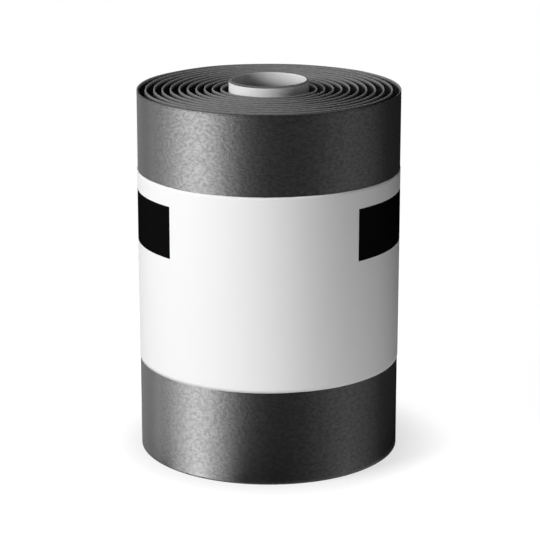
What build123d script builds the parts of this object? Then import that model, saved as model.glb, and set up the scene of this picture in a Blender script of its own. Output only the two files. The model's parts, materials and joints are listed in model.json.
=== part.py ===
from build123d import *
import math
import os

# A roll of asphalt-saturated roofing felt, standing on its end: the wound felt, the paperboard
# core that it is wound on, and the paper band that holds it closed.
# The origin is the centre of the end that it stands on, +Z runs up the axis, and -Y is the front.
# Lengths are in millimetres and angles in degrees, counted from +X.

# The felt
felt_width = 457.2          # width of the sheet, so the height of the standing roll
roll_diameter = 325.0       # over the outermost turn
turn_count = 11             # turns that show on the upper end, each with a gap inside it
turn_edge = 2.3             # width of the edge that each turn shows
turn_gap_depth = 20.0       # how far in from each end the turns stand apart
lower_gap_step = 2          # on the end that carries the roll, only every second gap stays open
tail_step = 1.4             # the sheet's own thickness, where its free end lies on the turn below
tail_ramp = 70.0            # the angle over which the turn below comes out to the full diameter
tail_direction = 60.0       # the free end, at the back of the roll

# The core
core_diameter = 98.5
core_wall = 3.0
core_projection = 11.2      # how far the core stands out of the upper end
core_rim_fall = 2.5         # how far its upper rim slopes down towards the outside
core_clearance = 0.25       # all round, between the core and the felt

# The paper band
band_height = 241.5
band_base = 117.5           # from the lower end of the felt to the band's lower edge
paper_thickness = 0.3
paper_clearance = 0.1       # all round, between the felt and the band
band_lap = 32.0             # length of the glued overlap
band_lap_direction = 108.0  # the middle of the overlap, at the back of the roll

roll_radius = roll_diameter / 2
core_radius = core_diameter / 2
felt_bore_radius = core_radius + core_clearance
turn_pitch = (roll_radius - core_radius) / turn_count
core_length = felt_width + core_projection


def ring(outer_radius, inner_radius, base, height):
    """A plain ring about the roll's axis."""
    section = Circle(outer_radius) - Circle(inner_radius)
    return Pos(0, 0, base) * extrude(section, height)


def felt_outline():
    """The roll seen from its end: a circle that steps in by one sheet at the free end."""
    outer_turn = CenterArc((0, 0), roll_radius, tail_ramp, 360 - tail_ramp)
    free_end = Line(outer_turn @ 1, (roll_radius - tail_step, 0))
    turn_below = TangentArc(outer_turn @ 0, free_end @ 1, tangent=outer_turn % 0 * -1)
    return Rot(0, 0, tail_direction) * make_face([outer_turn, free_end, turn_below])


def turn_gaps(base, step=1):
    """The open gaps between the turns at one end, the last of them round the core."""
    gaps = []
    for turn in range(0, turn_count, step):
        turn_outside = roll_radius - turn * turn_pitch
        next_outside = turn_outside - turn_pitch
        gaps.append(ring(turn_outside - turn_edge, next_outside, base, turn_gap_depth))
    return gaps


def felt_roll():
    """The wound felt, whose turns lie close inside the roll and stand apart at its two ends."""
    roll = extrude(felt_outline(), felt_width) - extrude(Circle(felt_bore_radius), felt_width)
    return roll - turn_gaps(0.0, lower_gap_step) - turn_gaps(felt_width - turn_gap_depth)


def core_tube():
    """The paperboard tube, flush with the felt below and proud of it above, where its rim slopes."""
    bore_radius = core_radius - core_wall
    wall_outside = Line((core_radius, 0), (core_radius, core_length - core_rim_fall))
    wall_inside = Line((bore_radius, core_length), (bore_radius, 0))
    rim = Line(wall_outside @ 1, wall_inside @ 0)
    foot = Line(wall_inside @ 1, wall_outside @ 0)
    return revolve(Plane.XZ * make_face([wall_outside, rim, wall_inside, foot]), Axis.Z)


def label_band():
    """The paper band, doubled where its two ends overlap."""
    inner_radius = roll_radius + paper_clearance
    outer_radius = inner_radius + paper_thickness
    lap_radius = outer_radius + paper_thickness
    lap_angle = math.degrees(band_lap / outer_radius)
    single = CenterArc((0, 0), outer_radius, lap_angle, 360 - lap_angle)
    double = CenterArc((0, 0), lap_radius, 0, lap_angle)
    outline = make_face([single, double, Line(single @ 1, double @ 0), Line(double @ 1, single @ 0)])
    band = extrude(outline - Circle(inner_radius), band_height)
    return Pos(0, 0, band_base) * Rot(0, 0, band_lap_direction - lap_angle / 2) * band


os.makedirs("parts", exist_ok=True)
export_step(felt_roll(), "parts/felt_roll.step")
export_step(core_tube(), "parts/core_tube.step")
export_step(label_band(), "parts/label_band.step")
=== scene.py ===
import bpy
import json
import math
import numpy as np
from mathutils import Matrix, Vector


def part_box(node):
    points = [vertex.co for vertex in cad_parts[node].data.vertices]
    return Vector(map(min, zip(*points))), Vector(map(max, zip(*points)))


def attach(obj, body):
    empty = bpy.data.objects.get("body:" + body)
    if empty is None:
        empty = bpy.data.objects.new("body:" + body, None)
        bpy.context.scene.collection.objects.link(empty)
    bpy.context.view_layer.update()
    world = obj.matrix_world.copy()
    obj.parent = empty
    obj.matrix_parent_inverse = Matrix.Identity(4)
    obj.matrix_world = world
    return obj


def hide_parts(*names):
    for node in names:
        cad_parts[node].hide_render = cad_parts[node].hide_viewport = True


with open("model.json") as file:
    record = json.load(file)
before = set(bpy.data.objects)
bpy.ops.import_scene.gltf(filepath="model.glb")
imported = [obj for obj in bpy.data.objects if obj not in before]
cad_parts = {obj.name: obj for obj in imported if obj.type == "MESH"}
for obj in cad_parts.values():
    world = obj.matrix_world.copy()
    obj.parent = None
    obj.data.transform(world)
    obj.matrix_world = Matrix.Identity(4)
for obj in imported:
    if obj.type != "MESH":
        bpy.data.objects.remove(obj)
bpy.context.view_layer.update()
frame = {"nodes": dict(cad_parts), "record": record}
print("frame loaded, nodes:", sorted(frame["nodes"]))

# lengths are in metres, and angles in degrees, counted from +X
mm = 0.001
front = 270.0               # direction of the front of the roll, -Y
sharpAngle = 40.0           # faces that meet at more than this are shaded as an edge

# sizes read from the frame
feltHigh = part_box("felt_roll")[1]
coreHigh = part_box("core_tube")[1]
bandLow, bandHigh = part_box("label_band")
rollRadius, feltHeight = feltHigh.x, feltHigh.z
coreRadius, coreHeight = coreHigh.x, coreHigh.z
boreMount = next(m for m in frame["record"]["mounts"] if m["name"] == "core_bore")
boreRadius = boreMount["dims"]["r_mm"] * mm

# the free end of the sheet, at the back of the roll
tail = {
    "direction": 60.0,
    "step": 1.4 * mm,       # thickness of the sheet
    "ramp": 70.0,           # the turn below comes out to the full radius over this angle
    "cutSlope": 0.2,        # angle that the cut edge takes up
    "bridge": 7.5,          # angle over which paper spans the step
}


def tailDrop(around):
    # how far the outermost turn lies inside the full radius: the sheet's thickness just past
    # the free end, falling as the square of the share of the ramp that is left
    return tail["step"] * np.clip(1 - around / tail["ramp"], 0, 1) ** 2


def wave(angle, seed, lobes, amount):
    # the mean of sines round the axis, with phases drawn from a seed, times amount
    phases = np.random.default_rng(seed).uniform(0, 2 * np.pi, len(lobes))
    return amount * np.sin(np.radians(angle)[..., None] * np.array(lobes) + phases).mean(axis=-1)


def turned(radius, angle, height):
    # points from radius, angle round the axis and height
    turn = np.radians(angle)
    return np.stack(np.broadcast_arrays(radius * np.cos(turn), radius * np.sin(turn), height), axis=-1)


def addObject(name, data):
    made = bpy.data.objects.new(name, data)
    bpy.context.scene.collection.objects.link(made)
    return made


def gridMesh(name, points, closed):
    # points[column, row]: each point joins its neighbours in quads; in a closed grid
    # the last column and row also join the first, as on a torus
    columns, rows = points.shape[:2]
    index = np.arange(columns * rows, dtype=np.int32).reshape(columns, rows)
    nextColumn = np.roll(index, -1, 0)
    quads = np.stack([index, nextColumn, np.roll(nextColumn, -1, 1), np.roll(index, -1, 1)], -1)
    if not closed:
        quads = quads[:-1, :-1]
    mesh = bpy.data.meshes.new(name)
    mesh.vertices.add(columns * rows)
    mesh.vertices.foreach_set("co", points.astype(np.float32).ravel())
    mesh.loops.add(quads.size)
    mesh.loops.foreach_set("vertex_index", quads.ravel())
    mesh.polygons.add(quads.size // 4)
    mesh.polygons.foreach_set("loop_start", np.arange(0, quads.size, 4, dtype=np.int32))
    mesh.update(calc_edges=True)
    mesh.shade_smooth()
    mesh.set_sharp_from_angle(angle=math.radians(sharpAngle))
    return addObject(name, mesh)


def storeValues(piece, name, values):
    # one number for each point of a grid, for its material to read
    made = piece.data.attributes.new(name, "FLOAT", "POINT")
    made.data.foreach_set("value", values.astype(np.float32).ravel())


# the wound felt

felt = {
    "turns": 11,            # seen on the upper end
    "edge": 2.3 * mm,       # bare edge of each turn
    "gapDepth": 20 * mm,    # how far in from the ends the turns stand apart
    "lowerStep": 2,         # below, only every second gap stays open
    "boreClearance": 0.25 * mm,
    "thinning": (1.1 * mm, 4 * mm),         # a turn thins out by this at each side, over this depth
    "rimRound": (0.75 * mm, 0.75 * mm),     # the same for the outer rim of the roll
    "bendPoints": 5,        # along each side that thins out
    "shoulder": 5 * mm,     # depth of the next row of points
    "stray": 0.6 * mm,      # how far a turn leaves its circle, at most
    "strayLobes": (2, 3, 5, 7),
    "straySeed": 5,
    "sink": 0.5 * mm,       # how far an edge lies below the end, at most
    "sinkDepth": 10 * mm,   # no point this deep sinks with its edge
    "sinkLobes": (1, 2, 4, 9),
    "sinkSeed": 45,
    "hollow": 0.25 * mm,    # dents of the outermost turn
    "hollowLobes": 7,
    "hollowLean": 2.2,      # they lean to and fro on the way up
    "hollowWave": 110 * mm,
    "cutWander": 1.1 * mm,  # the cut of the free end isn't quite straight
    "cutWaves": (31 * mm, 11.7 * mm),
    "cutPhase": 2.0,
    "cutReach": 4.0,        # angle over which the sheet beside the cut goes along
    "columns": 370,
    "wallRows": 22,
    "boreRows": 4,
}


def toothSection(width, outermost):
    # section of a turn at an end, from the foot of its outer wall over its edge to the foot of its
    # inner wall: distance in from the outer face, and distance in from the end;
    # a quarter ellipse makes each side of the edge
    depth, shoulder = felt["gapDepth"], felt["shoulder"]
    thin, thinDepth = felt["thinning"]
    outerThin, outerDepth = felt["rimRound"] if outermost else felt["thinning"]
    bend = np.radians(np.linspace(0, 90, felt["bendPoints"]))
    across, down = 1 - np.cos(bend), 1 - np.sin(bend)
    inward = np.concatenate([[0, 0], outerThin * across, width - thin * across[::-1], [width, width]])
    deep = np.concatenate([[depth, shoulder], outerDepth * down, thinDepth * down[::-1], [shoulder, depth]])
    return inward, deep


def feltSection():
    # the roll's section as rows of radius, height, turn, whether it is the outside, and share in an
    # edge's dip: outwards over the lower end, up the outer wall, inwards over the upper end, down the bore
    pitch = (rollRadius - coreRadius) / felt["turns"]
    depth, edge = felt["gapDepth"], felt["edge"]
    stretches = []
    for last in range(felt["turns"] - 1, -1, -felt["lowerStep"]):  # turns that lie together below
        first = max(last - felt["lowerStep"] + 1, 0)
        width = (last - first) * pitch + edge
        inward, deep = (part[::-1] for part in toothSection(width, first == 0))
        outside = (inward < width / 2) & (first == 0)
        stretches.append((rollRadius - first * pitch - inward, deep, last, outside, 0))
    wall = np.linspace(depth, feltHeight - depth, felt["wallRows"] + 2)[1:-1]
    stretches.append((rollRadius, wall, 0, 1, 0))
    for turn in range(felt["turns"]):
        inward, deep = toothSection(edge, turn == 0)
        outside = (inward < edge / 2) & (turn == 0)
        dipShare = np.clip(1 - deep / felt["sinkDepth"], 0, 1)
        stretches.append((rollRadius - turn * pitch - inward, feltHeight - deep, turn, outside, dipShare))
    bore = np.linspace(feltHeight - depth, depth, felt["boreRows"])
    stretches.append((coreRadius + felt["boreClearance"], bore, felt["turns"], 0, 0))
    return np.concatenate([np.array(np.broadcast_arrays(*part), float) for part in stretches], axis=1)


def turnWaves(around, seed, lobes, amount):
    # a wave of its own for each turn, and none for the bore
    waves = [wave(around, seed + turn, lobes, amount) for turn in range(felt["turns"])]
    return np.stack(waves + [0 * around], axis=-1)


def buildFelt():
    # the section carried once round the axis, from just past the cut of the free end back to it
    radius, height, turnOf, outside, dipShare = feltSection()
    turnOf = turnOf.astype(int)
    around = np.linspace(0, 360 - tail["cutSlope"], felt["columns"])
    stray = turnWaves(around, felt["straySeed"], felt["strayLobes"], felt["stray"])
    dip = turnWaves(around, felt["sinkSeed"], felt["sinkLobes"], felt["sink"])

    # the cut wanders a little sideways on its way up, by the mean of two sines
    nearCut = np.exp(-(np.minimum(around, 360 - around)[:, None] / felt["cutReach"]) ** 2)
    longWave, shortWave = felt["cutWaves"]
    sway = (np.sin(height / longWave) + np.sin(height / shortWave + felt["cutPhase"])) / 2
    wander = np.degrees(felt["cutWander"] / rollRadius) * sway
    angle = tail["direction"] + around[:, None] + outside * nearCut * wander

    # the outside only goes inwards, by long shallow hollows and the drop at the free end
    lean = felt["hollowLean"] * np.sin(height / felt["hollowWave"])
    hollow = felt["hollow"] * (1 + np.sin(np.radians(angle) * felt["hollowLobes"] + lean)) / 2
    shift = np.where(outside > 0, -hollow - tailDrop(around)[:, None], stray[:, turnOf])
    points = turned(radius + shift, angle, height - dipShare * np.abs(dip[:, turnOf]))
    piece = gridMesh("feltRoll", points, closed=True)
    storeValues(piece, "skin", np.broadcast_to(outside, points.shape[:2]))  # 1 on the outside of the roll
    return piece


# the core

core = {
    "rimFall": 2.5 * mm,    # the upper rim slopes down to the outside
    "footRound": 0.5 * mm,
    "outerRimRound": 1.0 * mm,
    "innerRimRound": 0.3 * mm,
    "arcPoints": 6,
    "outsideRows": 8,
    "insideRows": 250,
    "columns": 150,
    "jointColumns": 21,
    "jointTurns": 3,        # the wound board's joint goes round this often inside
    "jointSpan": 12.0,      # angle with closer columns, either side of the joint
    "jointWidth": 1.3 * mm,
    "jointDepth": 0.25 * mm,
    "rimFray": 0.3 * mm,
    "frayDepth": 3 * mm,
    "frayLobes": (9, 14, 23, 31),
    "fraySeed": 71,
}


def roundedCorners(corners, count):
    # each corner of a closed outline that turns left, given as two coordinates and a radius, becomes the
    # arc that touches both its sides: heading goes evenly from the arriving side to the leaving one
    corners = np.array(corners)
    places, radii = corners[:, :2], corners[:, 2:]
    arriving = places - np.roll(places, 1, 0)
    leaving = np.roll(places, -1, 0) - places
    start = np.arctan2(arriving[:, 1:], arriving[:, :1])
    turn = np.mod(np.arctan2(leaving[:, 1:], leaving[:, :1]) - start, 2 * np.pi)
    heading = start + turn * np.linspace(0, 1, count)
    inset = radii * np.tan(turn / 2)
    across = places[:, :1] - inset * np.cos(start) + radii * (np.sin(heading) - np.sin(start))
    upwards = places[:, 1:] - inset * np.sin(start) - radii * (np.cos(heading) - np.cos(start))
    return np.stack([across, upwards], -1)


def buildCore():
    # the tube's section carried round the axis: up the outside, over the sloping rim and down the inside;
    # the inside's columns follow the helix of the joint, which is a groove with a bell-shaped section
    foot, outerRim, innerRim, innerFoot = roundedCorners([
        (coreRadius, 0, core["footRound"]),
        (coreRadius, coreHeight - core["rimFall"], core["outerRimRound"]),
        (boreRadius, coreHeight, core["innerRimRound"]),
        (boreRadius, 0, core["footRound"]),
    ], core["arcPoints"])
    outside = np.linspace(foot[-1], outerRim[0], core["outsideRows"] + 2)[1:-1]
    inside = np.linspace(innerRim[-1], innerFoot[0], core["insideRows"] + 2)[1:-1]
    radius, height = np.concatenate([foot, outside, outerRim, innerRim, inside, innerFoot]).T
    before, after = len(foot) + len(outside) + len(outerRim) + len(innerRim), len(innerFoot)
    alongJoint = np.concatenate([np.zeros(before), np.linspace(0, 1, len(inside)), np.ones(after)])
    onInside = np.concatenate([np.zeros(before), np.ones(len(inside)), np.zeros(after)])

    span = core["jointSpan"]
    close = np.linspace(-span, span, core["jointColumns"])
    column = np.concatenate([close, np.linspace(span, 360 - span, core["columns"])[1:-1]])[:, None]
    angle = column + 360 * core["jointTurns"] * alongJoint
    rise = math.atan2(coreHeight / core["jointTurns"], 2 * math.pi * boreRadius)
    fromJoint = np.radians(np.minimum(np.abs(column), 360 - column)) * boreRadius * math.sin(rise)
    groove = onInside * core["jointDepth"] * np.exp(-(fromJoint / core["jointWidth"]) ** 2)
    nearRim = np.clip(1 - (coreHeight - height) / core["frayDepth"], 0, 1)
    fray = np.abs(wave(angle, core["fraySeed"], core["frayLobes"], core["rimFray"]))
    return gridMesh("coreTube", turned(radius + groove, angle, height - nearRim * fray), closed=True)


# the paper band

band = {
    "thickness": 0.3 * mm,
    "clearance": 0.1 * mm,
    "lap": 32 * mm,         # the outer end is glued over the inner one
    "lapDirection": 108.0,
    "climb": 9 * mm,        # length over which the outer end rises onto the inner one
    "glue": 0.02 * mm,
    "skew": 0.9 * mm,       # the two ends don't quite line up
    "swell": 0.16 * mm,     # soft bulges of the paper
    "swellLobes": (3, 8, 13),
    "swellSeed": 23,
    "swellWaves": 2.1,      # half waves from edge to edge
    "swellTwist": 4.0,      # they move up and down round the roll
    "edgeStray": 0.3 * mm,
    "edgeLobes": (2, 5, 11),
    "edgeSeed": 24,
    "columns": 420,
    "rows": 60,
}


def paperDrop(around):
    # the paper lies on the felt, and spans the step at the free end as a straight chord
    reach = math.radians(tail["bridge"])
    landing = rollRadius - tailDrop(tail["bridge"])
    turn = np.radians(np.clip(around, 0, tail["bridge"]))
    spanned = rollRadius * np.sin(turn) + landing * np.sin(reach - turn)
    chord = rollRadius * landing * math.sin(reach) / spanned
    return np.where(around < tail["bridge"], rollRadius - chord, tailDrop(around))


def buildBand():
    # a strip carried once round the roll and over its own start: radius from the angle along the strip,
    # height along the other way, with small waves in both
    lapAngle = math.degrees(band["lap"] / rollRadius)
    climbAngle = math.degrees(band["climb"] / rollRadius)
    along = np.linspace(0, 360 + lapAngle, band["columns"])[:, None]
    up = np.linspace(0, 1, band["rows"])
    angle = band["lapDirection"] - lapAngle / 2 + along
    risen = np.clip((along - 360 + climbAngle) / climbAngle, 0, 1)
    lift = (band["thickness"] + band["glue"]) * risen ** 2 * (3 - 2 * risen)     # a smooth step
    ripple = np.sin(band["swellWaves"] * np.pi * up + band["swellTwist"] * np.sin(np.radians(angle)))
    bulge = (1 + wave(angle, band["swellSeed"], band["swellLobes"], 1) * ripple) / 2
    radius = rollRadius + band["clearance"] - paperDrop(np.mod(angle - tail["direction"], 360))
    radius = radius + lift + band["swell"] * bulge * np.sin(np.pi * up)
    edge = wave(angle, band["edgeSeed"], band["edgeLobes"], band["edgeStray"])
    base = edge + band["skew"] * (along / 360 - 0.5)
    upPaper = (bandHigh.z - bandLow.z) * up
    piece = gridMesh("labelBand", turned(radius, angle, bandLow.z + base + upPaper), closed=False)

    # the print's map in metres: length along the paper from the middle of the front, and height on the band
    alongPaper = np.radians(angle - front) * rollRadius
    mapped = np.stack(np.broadcast_arrays(alongPaper, upPaper), -1).reshape(-1, 2)
    corners = np.empty(len(piece.data.loops), np.int32)
    piece.data.loops.foreach_get("vertex_index", corners)
    printMap = piece.data.uv_layers.new(name="print")
    printMap.data.foreach_set("uv", mapped[corners].astype(np.float32).ravel())
    solid = piece.modifiers.new("paperThickness", "SOLIDIFY")
    solid.thickness = band["thickness"]
    solid.offset = 1
    return piece


# shader nodes

def addNode(tree, kind, values, **settings):
    # a value that is another node's socket is linked, and any other is set
    made = tree.nodes.new(kind)
    for name, value in settings.items():
        setattr(made, name, value)
    for socket, value in values.items():
        if isinstance(value, bpy.types.NodeSocket):
            tree.links.new(value, made.inputs[socket])
        else:
            made.inputs[socket].default_value = value
    return made


def maths(tree, operation, first, second=0.0):
    return addNode(tree, "ShaderNodeMath", {0: first, 1: second}, operation=operation).outputs[0]


def vectorMaths(tree, operation, values):
    return addNode(tree, "ShaderNodeVectorMath", values, operation=operation).outputs


def ramp(tree, value, start, end, low=0.0, high=1.0):
    # smooth step from low at start to high at end
    values = {"Value": value, "From Min": start, "From Max": end, "To Min": low, "To Max": high}
    return addNode(tree, "ShaderNodeMapRange", values, interpolation_type="SMOOTHSTEP").outputs[0]


def between(tree, share, low, high):
    # smooth step from low where share is 0 to high where it is 1
    return ramp(tree, share, 0.0, 1.0, low, high)


def blend(tree, share, first, second):
    # sockets 6 and 7 of a Mix node are its two colours
    return addNode(tree, "ShaderNodeMix", {0: share, 6: first, 7: second}, data_type="RGBA").outputs[2]


def grey(level):
    return (level, level, level, 1)


def speckled(tree, speck, levels):
    # from the first level in the hollows of the grain to the second on its specks
    return blend(tree, speck, grey(levels[0]), grey(levels[1]))


def attributeValue(tree, name):
    return addNode(tree, "ShaderNodeAttribute", {}, attribute_name=name).outputs["Fac"]


def objectPlace(tree):
    return addNode(tree, "ShaderNodeTexCoord", {}).outputs["Object"]


def axisDistance(tree, place):
    # length of the level part of a place
    flat = vectorMaths(tree, "MULTIPLY", {0: place, 1: (1, 1, 0)})[0]
    return vectorMaths(tree, "LENGTH", {0: flat})["Value"]


def separate(tree, vector):
    return addNode(tree, "ShaderNodeSeparateXYZ", {0: vector}).outputs


def newMaterial(name):
    made = bpy.data.materials.new(name)
    made.use_nodes = True
    tree = made.node_tree
    return made, tree, tree.nodes["Principled BSDF"]


def addBump(tree, shader, relief, distance):
    bump = addNode(tree, "ShaderNodeBump", {"Height": relief, "Distance": distance})
    tree.links.new(bump.outputs[0], shader.inputs["Normal"])


# matted fibre, in all three materials

fibre = {
    "detail": 1.0,          # of its noises
    "speck": (0.2, 0.8),    # heights between which a hollow becomes a speck
}


def fibreNoise(tree, vector):
    values = {"Vector": vector, "Scale": 1.0, "Detail": fibre["detail"]}     # the vector is already scaled
    return addNode(tree, "ShaderNodeTexNoise", values).outputs[0]


def fibreGrain():
    # coarse specks and a finer noise in one height; sockets 2 and 3 of the Mix node are its two numbers
    group = bpy.data.node_groups.new("fibreGrain", "ShaderNodeTree")
    for name in ["Vector", "Frequency"]:
        group.interface.new_socket(name, in_out="INPUT", socket_type="NodeSocketVector")
    for name in ["Fine Ratio", "Fine Share"]:
        group.interface.new_socket(name, in_out="INPUT", socket_type="NodeSocketFloat")
    for name in ["Speck", "Height"]:
        group.interface.new_socket(name, in_out="OUTPUT", socket_type="NodeSocketFloat")
    given = group.nodes.new("NodeGroupInput").outputs
    result = group.nodes.new("NodeGroupOutput").inputs
    scaled = vectorMaths(group, "MULTIPLY", {0: given["Vector"], 1: given["Frequency"]})[0]
    finer = vectorMaths(group, "SCALE", {0: scaled, "Scale": given["Fine Ratio"]})[0]
    heights = {0: given["Fine Share"], 2: fibreNoise(group, scaled), 3: fibreNoise(group, finer)}
    height = addNode(group, "ShaderNodeMix", heights).outputs[0]
    group.links.new(ramp(group, height, *fibre["speck"]), result["Speck"])
    group.links.new(height, result["Height"])
    return group


def addGrain(tree, group, vector, finish):
    # the group with the grain of one finish
    values = {
        "Vector": vector,
        "Frequency": finish["grain"],
        "Fine Ratio": finish["fineRatio"],
        "Fine Share": finish["fineShare"],
    }
    made = addNode(tree, "ShaderNodeGroup", values, node_tree=group)
    return made.outputs["Speck"], made.outputs["Height"]


# materials; a pair of levels is for the hollows of the grain and for its specks

feltFinish = {
    "tar": (0.008, 0.017),      # saturated face
    "cut": (0.11, 0.155),       # bare fibre along the cut edges
    "cutDepth": (5 * mm, 1.25 * mm),    # it comes in between these distances from an end
    "gap": 0.003,               # painted shade deep between the turns, darker than the tar itself
    "skinEnd": (1.0, 0.6),      # the outside ends where its mark falls from the first to the second
    "grain": (205, 205, 320),
    "fineRatio": 2.7,
    "fineShare": 0.25,
    "rough": (0.43, 0.38),
    "roughWound": 0.95,         # between the turns and on their edges
    "roughAslant": 0.68,        # the nap takes the gloss off a slanting view
    "aslant": (0.35, 0.68),
    "gloss": (0.09, 0.56),      # weight of the tar's own coat
    "glossRough": 0.42,
    "bumpDistance": 0.5 * mm,
}


def feltMaterial(group):
    made, tree, shader = newMaterial("saturatedFelt")
    place = objectPlace(tree)
    speck, relief = addGrain(tree, group, place, feltFinish)

    # tar on the outside, and within it bare fibre at the ends of the turns and painted shade deeper in the
    # gaps
    within = ramp(tree, attributeValue(tree, "skin"), *feltFinish["skinEnd"])
    height = separate(tree, place)["Z"]
    deep, shallow = feltFinish["cutDepth"]
    nearUpper = ramp(tree, height, feltHeight - deep, feltHeight - shallow)
    nearLower = ramp(tree, height, deep, shallow)
    nearEnd = maths(tree, "MAXIMUM", nearUpper, nearLower)
    # past the cut fibre's depth the turns take the painted shade of the gaps
    wound = blend(tree, nearEnd, grey(feltFinish["gap"]), speckled(tree, speck, feltFinish["cut"]))
    face = speckled(tree, speck, feltFinish["tar"])
    tree.links.new(blend(tree, within, face, wound), shader.inputs["Base Color"])

    # the roughest of grain, wound edges and slanting view
    slant = addNode(tree, "ShaderNodeLayerWeight", {}).outputs["Facing"]
    aslant = ramp(tree, slant, *feltFinish["aslant"])
    roughWound = maths(tree, "MULTIPLY", within, feltFinish["roughWound"])
    roughAslant = maths(tree, "MULTIPLY", aslant, feltFinish["roughAslant"])
    rough = maths(tree, "MAXIMUM", between(tree, speck, *feltFinish["rough"]), roughWound)
    tree.links.new(maths(tree, "MAXIMUM", rough, roughAslant), shader.inputs["Roughness"])

    # the coat lies where the felt isn't dull
    bright = between(tree, maths(tree, "MAXIMUM", within, aslant), 1.0, 0.0)
    gloss = between(tree, speck, *feltFinish["gloss"])
    tree.links.new(maths(tree, "MULTIPLY", gloss, bright), shader.inputs["Coat Weight"])
    shader.inputs["Coat Roughness"].default_value = feltFinish["glossRough"]
    addBump(tree, shader, relief, feltFinish["bumpDistance"])
    return made


coreFinish = {
    "board": (0.77, 0.84),
    "boreShade": 0.09,               # painted shade deep in the bore
    "boreShadeDepth": (1 * mm, 28 * mm),
    "insideFrom": (1 / 2, 1 / 3),       # shares of the wall, from the bore, where the inside begins
    "cutEnd": (0.05, 0.08),     # bare plies where the board is cut
    "cutSlope": (0.15, 0.35),   # how far a face looks up or down, from the wall to the cut end
    "grain": (420, 420, 420),
    "fineRatio": 2.7,
    "fineShare": 0.4,
    "rough": (0.42, 0.85),      # of the wall and of the cut end
    "bumpDistance": 0.05 * mm,
}


def coreMaterial(group):
    made, tree, shader = newMaterial("coreBoard")
    place = objectPlace(tree)
    speck, relief = addGrain(tree, group, place, coreFinish)

    # painted shade: the bore darkens with depth
    wall = coreRadius - boreRadius
    outer, inner = (boreRadius + wall * share for share in coreFinish["insideFrom"])
    inside = ramp(tree, axisDistance(tree, place), outer, inner)
    shallow, deep = coreFinish["boreShadeDepth"]
    low = ramp(tree, separate(tree, place)["Z"], coreHeight - shallow, coreHeight - deep)
    unshadedBoard = speckled(tree, speck, coreFinish["board"])
    # the painted shade takes over from the board's tone deep in the bore
    face = blend(tree, maths(tree, "MULTIPLY", inside, low), unshadedBoard, grey(coreFinish["boreShade"]))

    # faces that look up or down are cut
    facing = addNode(tree, "ShaderNodeTexCoord", {}).outputs["Normal"]
    cut = ramp(tree, maths(tree, "ABSOLUTE", separate(tree, facing)["Z"]), *coreFinish["cutSlope"])
    plies = speckled(tree, speck, coreFinish["cutEnd"])
    tree.links.new(blend(tree, cut, face, plies), shader.inputs["Base Color"])
    tree.links.new(between(tree, cut, *coreFinish["rough"]), shader.inputs["Roughness"])
    addBump(tree, shader, relief, coreFinish["bumpDistance"])
    return made


bandFinish = {
    "paper": (0.84, 0.87),
    "ink": (0.003, 0.006),
    "stripe": (152.5 * mm, 217.5 * mm),     # the printed stripe, heights on the band
    "panel": (-132.5 * mm, 116.6 * mm),     # unprinted panel at the front, along the paper
    "inkEdge": 0.35 * mm,
    "grain": (900, 900, 900),
    "fineRatio": 2.6,
    "fineShare": 0.4,
    "rough": (0.7, 0.8),        # of the paper and of the ink
    "specular": 0.0,            # uncoated
    "bumpDistance": 0.03 * mm,
}


def bandMaterial(group):
    made, tree, shader = newMaterial("printedPaper")
    mapped = addNode(tree, "ShaderNodeUVMap", {}, uv_map="print").outputs["UV"]
    speck, relief = addGrain(tree, group, mapped, bandFinish)

    # ink within the stripe's heights, and on both sides of the panel
    onPaper = separate(tree, mapped)
    feather = bandFinish["inkEdge"]
    low, high = bandFinish["stripe"]
    left, right = bandFinish["panel"]
    aboveLow = ramp(tree, onPaper["Y"], low, low + feather)
    belowHigh = ramp(tree, onPaper["Y"], high, high - feather)
    leftOf = ramp(tree, onPaper["X"], left, left - feather)
    rightOf = ramp(tree, onPaper["X"], right, right + feather)
    inStripe = maths(tree, "MULTIPLY", aboveLow, belowHigh)
    inked = maths(tree, "MULTIPLY", inStripe, maths(tree, "MAXIMUM", leftOf, rightOf))
    paper = speckled(tree, speck, bandFinish["paper"])
    ink = speckled(tree, speck, bandFinish["ink"])
    tree.links.new(blend(tree, inked, paper, ink), shader.inputs["Base Color"])
    tree.links.new(between(tree, inked, *bandFinish["rough"]), shader.inputs["Roughness"])
    shader.inputs["Specular IOR Level"].default_value = bandFinish["specular"]
    addBump(tree, shader, relief, bandFinish["bumpDistance"])
    return made


print("building the pieces")
grain = fibreGrain()
for build, material, nodeName, slotName in [
    (buildFelt, feltMaterial, "felt_roll", "felt"),
    (buildCore, coreMaterial, "core_tube", "core_board"),
    (buildBand, bandMaterial, "label_band", "label_paper"),
]:
    piece = build()
    piece.data.materials.append(material(grain))
    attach(piece, "root")
    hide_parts(nodeName)
    print(piece.name, len(piece.data.polygons), "quads")


# floor and room

room = {
    "floorRadius": 1.0,     # the floor fades into the white room from floorFade to here
    "floorFade": 0.45,
    "floorColour": 0.36,
    "floorLift": 0.68,      # brings the lit floor up to white for the eye, and leaves the shadow
    "ambient": 0.02,        # room light on the object
}


def stageMaterial(name):
    # a material with nothing on its output yet
    made, tree, shader = newMaterial(name)
    tree.nodes.remove(shader)
    return made, tree, tree.nodes["Material Output"].inputs["Surface"]


def seenRay(tree):
    # 1 for what the camera sees, straight or in a reflection or through glass
    path = addNode(tree, "ShaderNodeLightPath", {}).outputs
    mirrored = maths(tree, "MAXIMUM", path["Is Glossy Ray"], path["Is Transmission Ray"])
    return maths(tree, "MAXIMUM", path["Is Camera Ray"], mirrored)


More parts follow.
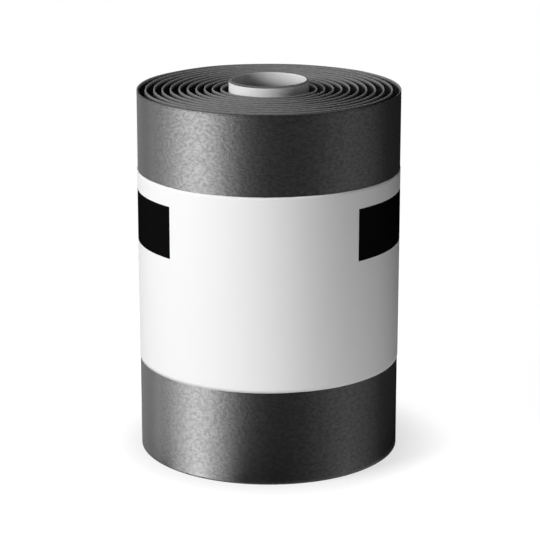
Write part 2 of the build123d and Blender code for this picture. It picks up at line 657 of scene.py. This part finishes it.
def buildFloor():
    # a square that takes the shadow and fades out before its edge
    size = room["floorRadius"]
    corners = [(-size, -size, 0), (size, -size, 0), (size, size, 0), (-size, size, 0)]
    mesh = bpy.data.meshes.new("floor")
    mesh.from_pydata(corners, [], [(0, 1, 2, 3)])
    made, tree, surface = stageMaterial("paleFloor")
    diffuse = addNode(tree, "ShaderNodeBsdfDiffuse", {"Color": grey(room["floorColour"])})
    strength = maths(tree, "MULTIPLY", seenRay(tree), room["floorLift"])
    lift = addNode(tree, "ShaderNodeEmission", {"Strength": strength})
    lit = addNode(tree, "ShaderNodeAddShader", {0: diffuse.outputs[0], 1: lift.outputs[0]})
    clear = addNode(tree, "ShaderNodeBsdfTransparent", {})
    fade = ramp(tree, axisDistance(tree, objectPlace(tree)), room["floorFade"], room["floorRadius"])
    mixed = addNode(tree, "ShaderNodeMixShader", {0: fade, 1: lit.outputs[0], 2: clear.outputs[0]})
    tree.links.new(mixed.outputs[0], surface)
    mesh.materials.append(made)
    addObject("floor", mesh)


def buildWorld():
    # white to look at, and dim as a light
    world = bpy.data.worlds.new("whiteRoom")
    world.use_nodes = True
    tree = world.node_tree
    background = tree.nodes["Background"].inputs
    tree.links.new(between(tree, seenRay(tree), room["ambient"], 1.0), background["Strength"])
    background["Color"].default_value = grey(1)
    bpy.context.scene.world = world


# lamps: azimuth is counted from the front, to the right; size is width and height
# the low lamps stay below the upper end, so they reach the sides of the roll alone
lamps = {
    "keyLeft": {"azimuth": -60, "elevation": 27, "distance": 2.0, "size": (0.9, 0.6), "watts": 34},
    "top": {"azimuth": 0, "elevation": 90, "distance": 2.2, "size": (0.3, 0.3), "watts": 45},
    "lowRight": {"azimuth": 8, "elevation": 0, "distance": 1.6, "size": (0.8, 0.4), "watts": 7.6},
    "lowBack": {"azimuth": 165, "elevation": 0, "distance": 1.6, "size": (0.8, 0.4), "watts": 10},
}


def buildLamps():
    middle = Vector((0, 0, feltHeight / 2))
    for name, given in lamps.items():
        light = bpy.data.lights.new(name, "AREA")
        light.shape = "RECTANGLE"
        light.size, light.size_y = given["size"]
        light.energy = given["watts"]
        lamp = addObject(name, light)
        turn, rise = math.radians(given["azimuth"]), math.radians(given["elevation"])
        level = math.cos(rise)
        towards = Vector((math.sin(turn) * level, -math.cos(turn) * level, math.sin(rise)))
        lamp.location = middle + given["distance"] * towards
        lamp.rotation_mode = "QUATERNION"
        lamp.rotation_quaternion = towards.to_track_quat("Z", "Y")
        lamp.visible_glossy = False     # the cards below make the sheen


def reflectedOnly(screen):
    # seen in reflections and nowhere else
    screen.visible_camera = False
    screen.visible_diffuse = False
    screen.visible_shadow = False


# bright cards on the floor, for the sheen of the felt: middle and spread are angles of the stretch of the
# roll that mirrors the card to the front, and share is the part of the glow at each point of a line
cards = {
    "brightCardEdge": {"middle": -67, "spread": 18, "glow": 0.9, "share": (1, 0.7, 0.4, 0.4, 0.4)},
    "brightCardLeft": {"middle": -32, "spread": 21, "glow": 14.5, "share": (0.73, 0.85, 1, 1, 1)},
    "brightCardRight": {"middle": 35, "spread": 30, "glow": 1.2, "share": (0.8, 0.85, 1, 1, 1)},
}
cardLines = {
    "count": 25,
    "away": np.array([0.001, 0.3, 0.8, 1.6, 1.6]),  # a line's points, from the roll's foot
    "rise": np.array([0.001, 0.001, 0.001, 0.001, 0.5]),     # and their heights
    "fall": 1.5,            # power by which the glow falls to both sides
}


def buildCards():
    # straight lines along the floor and then up, each from a foot point of the roll at twice that point's
    # angle; the glow falls from the middle line to both sides, as a power of the share of the spread left
    across = np.linspace(-1, 1, cardLines["count"])[:, None]
    fade = (1 - np.abs(across)) ** cardLines["fall"]
    for name, given in cards.items():
        facing = given["middle"] + given["spread"] * across
        line = turned(cardLines["away"], front + 2 * facing, cardLines["rise"])
        card = gridMesh(name, turned(rollRadius, front + facing, 0) + line, closed=False)
        storeValues(card, "share", np.array(given["share"]) * fade)
        made, tree, surface = stageMaterial(name)
        strength = maths(tree, "MULTIPLY", attributeValue(tree, "share"), given["glow"])
        glow = addNode(tree, "ShaderNodeEmission", {"Strength": strength})
        clear = addNode(tree, "ShaderNodeBsdfTransparent", {})
        both = addNode(tree, "ShaderNodeAddShader", {0: glow.outputs[0], 1: clear.outputs[0]})
        tree.links.new(both.outputs[0], surface)
        card.data.materials.append(made)
        reflectedOnly(card)


darkScreen = {
    "from": -44,            # angles round the roll, counted from the front to the right
    "to": 172,
    "near": 0.165,          # it lies just above the floor between these radii, then stands
    "far": 2.2,
    "lift": 0.5 * mm,
    "height": 4.0,
    "columns": 60,
}


def buildDarkScreen():
    # black cloth that only reflections see, on the shaded side: an L-shaped section carried round the roll
    angle = front + np.linspace(darkScreen["from"], darkScreen["to"], darkScreen["columns"])[:, None]
    radius = np.array([darkScreen["near"], darkScreen["far"], darkScreen["far"]])
    height = np.array([darkScreen["lift"], darkScreen["lift"], darkScreen["height"]])
    screen = gridMesh("darkScreen", turned(radius, angle, height), closed=False)
    made, _, shader = newMaterial("blackCloth")
    shader.inputs["Base Color"].default_value = grey(0)
    shader.inputs["Specular IOR Level"].default_value = 0
    screen.data.materials.append(made)
    reflectedOnly(screen)


shot = {
    "place": (0.0014, -2.6276, 0.9766),     # in front of the roll and above it
    "pitch": 15.97,         # degrees below level
    "lens": 145.07,         # millimetres, as the sensor
    "sensor": 36.0,
}


def buildCamera():
    data = bpy.data.cameras.new("camera")
    data.sensor_fit = "HORIZONTAL"
    data.sensor_width = shot["sensor"]
    data.lens = shot["lens"]
    camera = addObject("camera", data)
    camera.location = shot["place"]
    camera.rotation_euler = (math.radians(90 - shot["pitch"]), 0, 0)
    bpy.context.scene.camera = camera


buildFloor()
buildWorld()
buildLamps()
buildCards()
buildDarkScreen()
buildCamera()
bpy.context.scene.view_settings.view_transform = "Standard"
print("stage ready")
